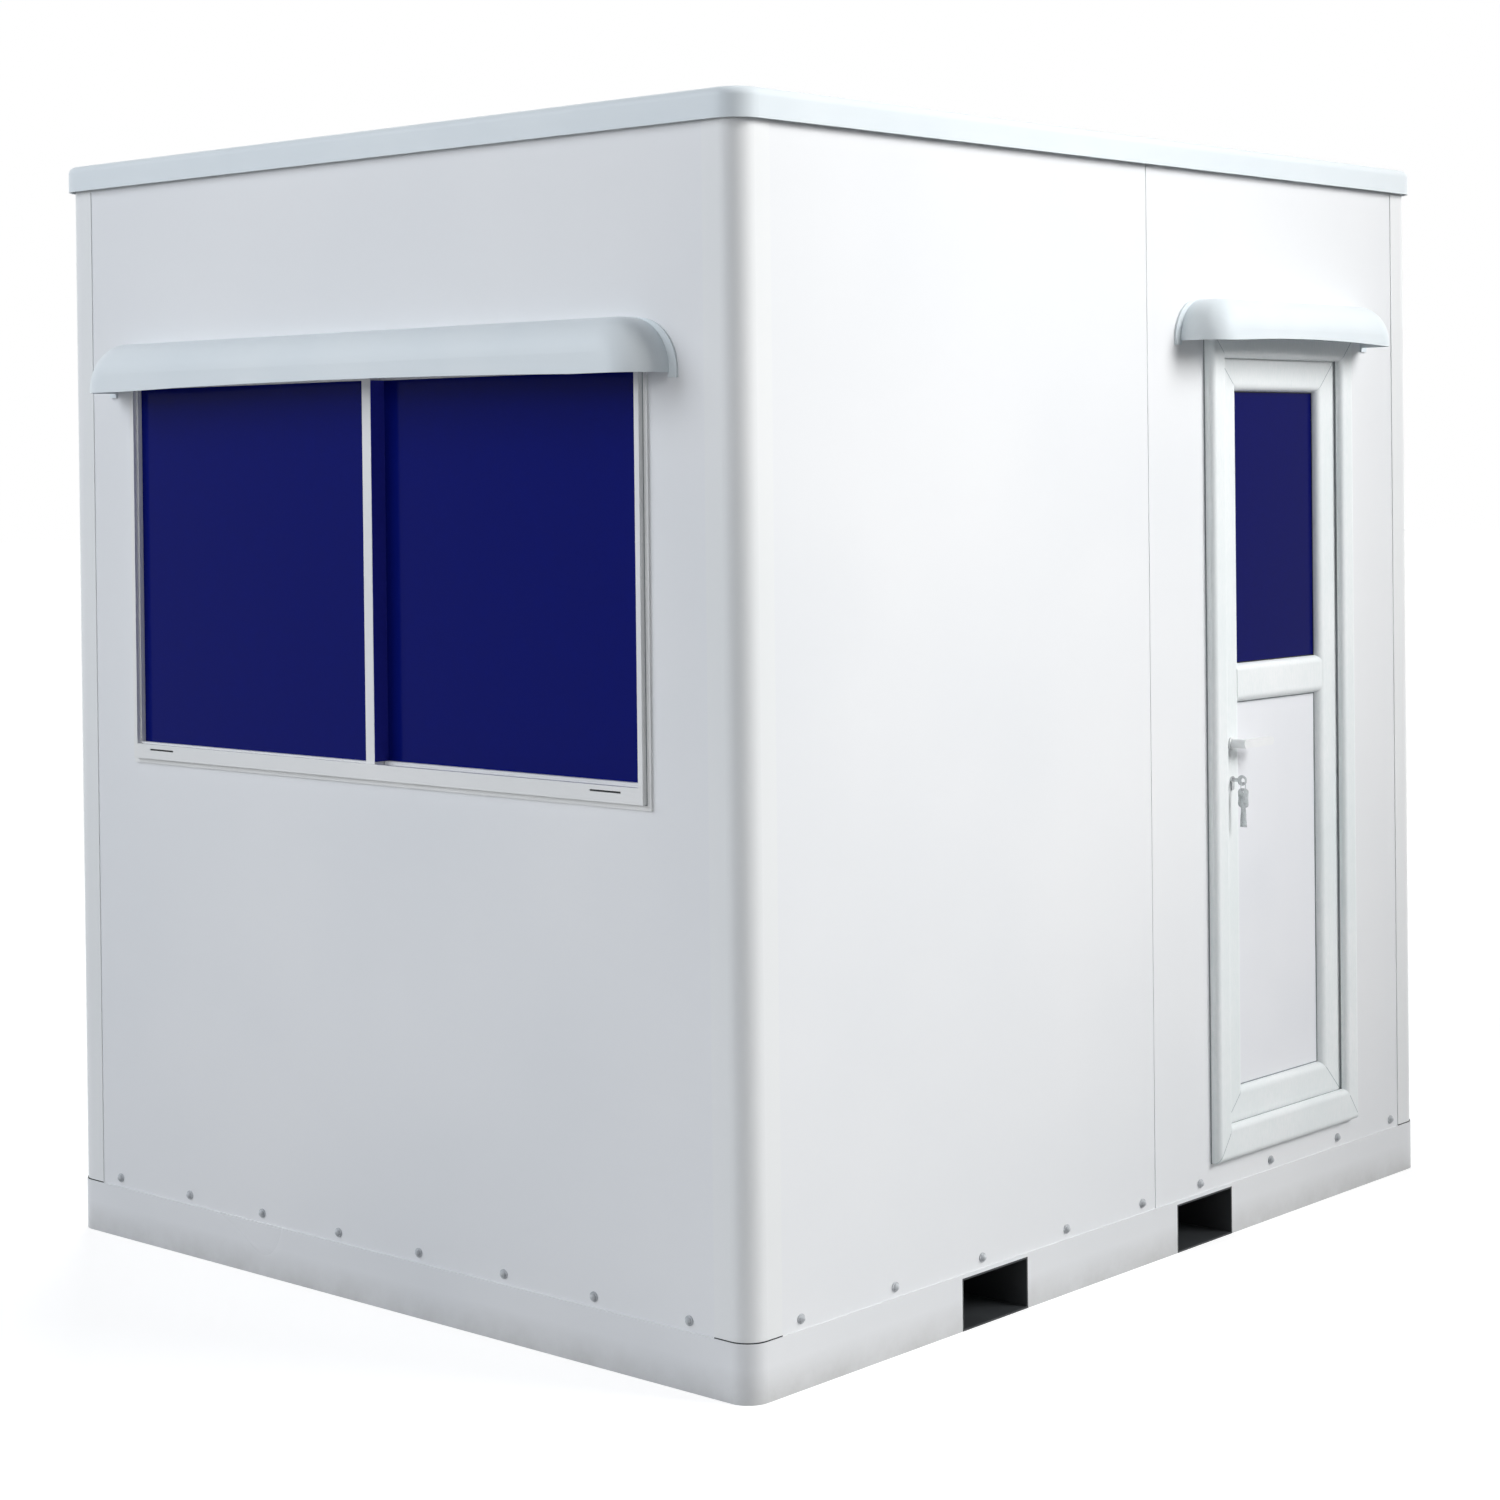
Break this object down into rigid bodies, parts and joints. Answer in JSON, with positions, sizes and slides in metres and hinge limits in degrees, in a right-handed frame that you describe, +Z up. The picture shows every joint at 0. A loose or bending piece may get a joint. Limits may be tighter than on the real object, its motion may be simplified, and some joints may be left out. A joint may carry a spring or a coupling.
{
  "type": "security guard booth",
  "caption": "White prefabricated guard booth with rounded corners, a sliding window and a narrow glazed door under moulded rain hoods, on a steel base with fork pockets.",
  "frame": {"origin": "middle of the base at ground level, on the underside of the middle floor joist", "axes": "+Z up, the window wall faces -Y, the door wall faces +X"},
  "size_m": [2.321, 2.721, 2.58],
  "materials": {
    "painted_base": "white paint on folded steel",
    "dark_steel": "dark primer on steel",
    "floor_board": "sealed floor board",
    "wall_panel": "white coated sandwich panel",
    "corner_profile": "white extruded corner profile",
    "moulded_white": "white moulded glass-fibre plastic",
    "window_profile": "white extruded window profile",
    "tinted_glass": "dark blue tinted glass",
    "door_profile": "white extruded door profile",
    "door_panel": "white flat infill panel",
    "bright_steel": "bright plated steel",
    "white_lever": "white coated aluminium"
  },
  "bodies": {
    "booth": {"base_rail_front": "painted_base", "base_rail_back": "painted_base", "base_rail_right": "painted_base", "base_rail_left": "painted_base", "fork_tunnel_front": "dark_steel", "fork_tunnel_rear": "dark_steel", "floor_joists": "dark_steel", "floor_deck": "floor_board", "front_wall": "wall_panel", "back_wall": "wall_panel", "right_wall_panel": "wall_panel", "door_wall_front_strip": "wall_panel", "door_wall_rear_strip": "wall_panel", "door_wall_header": "wall_panel", "door_wall_sill": "wall_panel", "left_wall_front_panel": "wall_panel", "left_wall_rear_panel": "wall_panel", "post_front_right": "corner_profile", "post_back_right": "corner_profile", "post_back_left": "corner_profile", "post_front_left": "corner_profile", "roof_panel": "wall_panel", "roof_cap": "moulded_white", "window_frame": "window_profile", "window_sash_left": "window_profile", "window_sash_right": "window_profile", "window_panes": "tinted_glass", "window_hood": "moulded_white", "door_hood": "moulded_white", "door_frame_head": "door_profile", "door_frame_sill": "door_profile", "door_frame_lock_jamb": "door_profile", "door_frame_hinge_jamb": "door_profile", "frame_hinges": "bright_steel"},
    "door": {"leaf_lock_stile": "door_profile", "leaf_hinge_stile": "door_profile", "leaf_top_rail": "door_profile", "leaf_mid_rail": "door_profile", "leaf_bottom_rail": "door_profile", "door_pane": "tinted_glass", "door_infill": "door_panel", "leaf_hinges": "bright_steel", "lock_set": "bright_steel", "door_keys": "bright_steel"},
    "lever": {"lever_pair": "white_lever"}
  },
  "joints": [
    {"name": "door_swing", "type": "hinge", "parent": "booth", "child": "door", "pos_m": [1.026, 0.927, 1.161], "axis": [0, 0, -1], "range_deg": [0, 100]},
    {"name": "lever_turn", "type": "hinge", "parent": "door", "child": "lever", "pos_m": [1.068, 0.434, 1.165], "axis": [-1, 0, 0], "range_deg": [0, 40], "stiffness_Nm_per_rad": 3}
  ]
}
